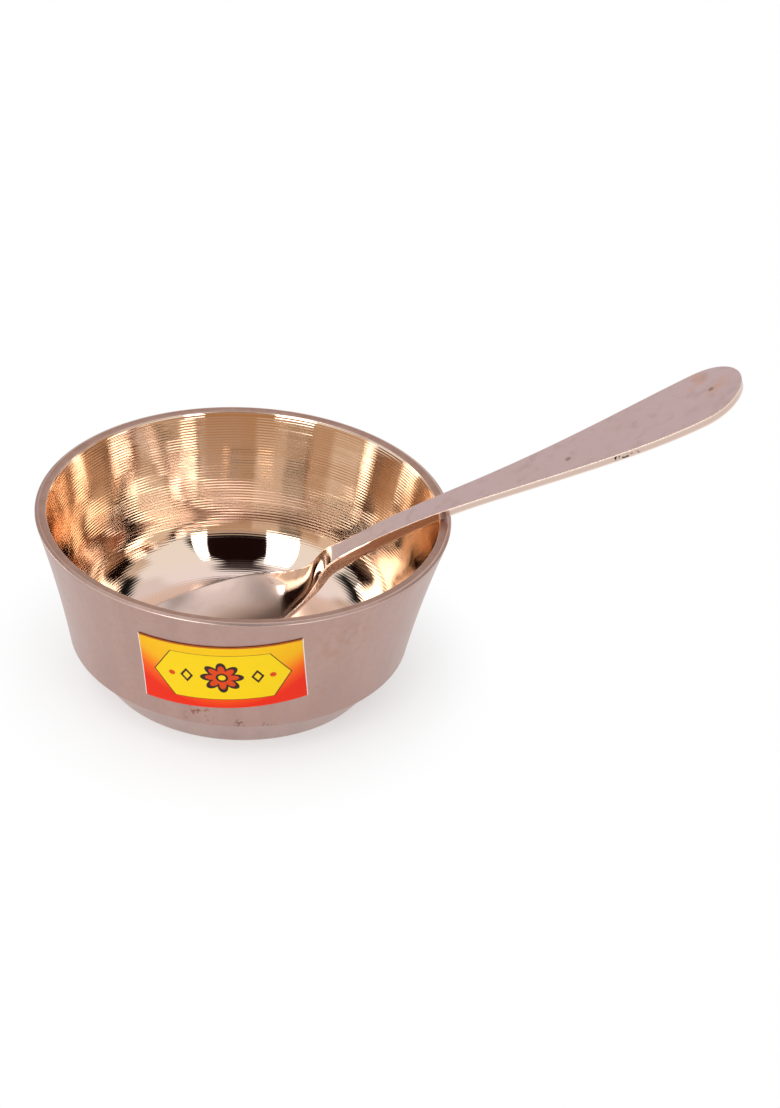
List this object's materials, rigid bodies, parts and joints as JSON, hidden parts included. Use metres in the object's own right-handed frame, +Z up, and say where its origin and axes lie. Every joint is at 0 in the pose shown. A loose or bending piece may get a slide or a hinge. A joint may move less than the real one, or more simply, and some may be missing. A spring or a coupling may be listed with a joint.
{
  "type": "bronze bowl with spoon",
  "caption": "Small turned bronze bowl with a flared wall on a narrower foot, a spoon with a broad arched handle standing in it, and a paper label on the wall.",
  "frame": {"origin": "centre of the foot's flat underside", "axes": "+Z up along the bowl's axis, +X towards the end of the spoon's handle"},
  "size_m": [0.1733, 0.1038, 0.0871],
  "materials": {
    "bowl_bronze": "cast bell bronze, satin outside with faint stains, turned and polished inside",
    "spoon_bronze": "cast bell bronze, rubbed smooth, with small casting pits on the sides",
    "label_paper": "coated self-adhesive paper, printed yellow to red-orange"
  },
  "bodies": {
    "bowl": {"bowl": "bowl_bronze", "label": "label_paper"},
    "spoon": {"spoon": "spoon_bronze"}
  },
  "joints": [
    {"name": "spoon_lift", "type": "slide", "parent": "bowl", "child": "spoon", "axis": [0, 0, 1], "range_m": [0, 0.06]}
  ]
}
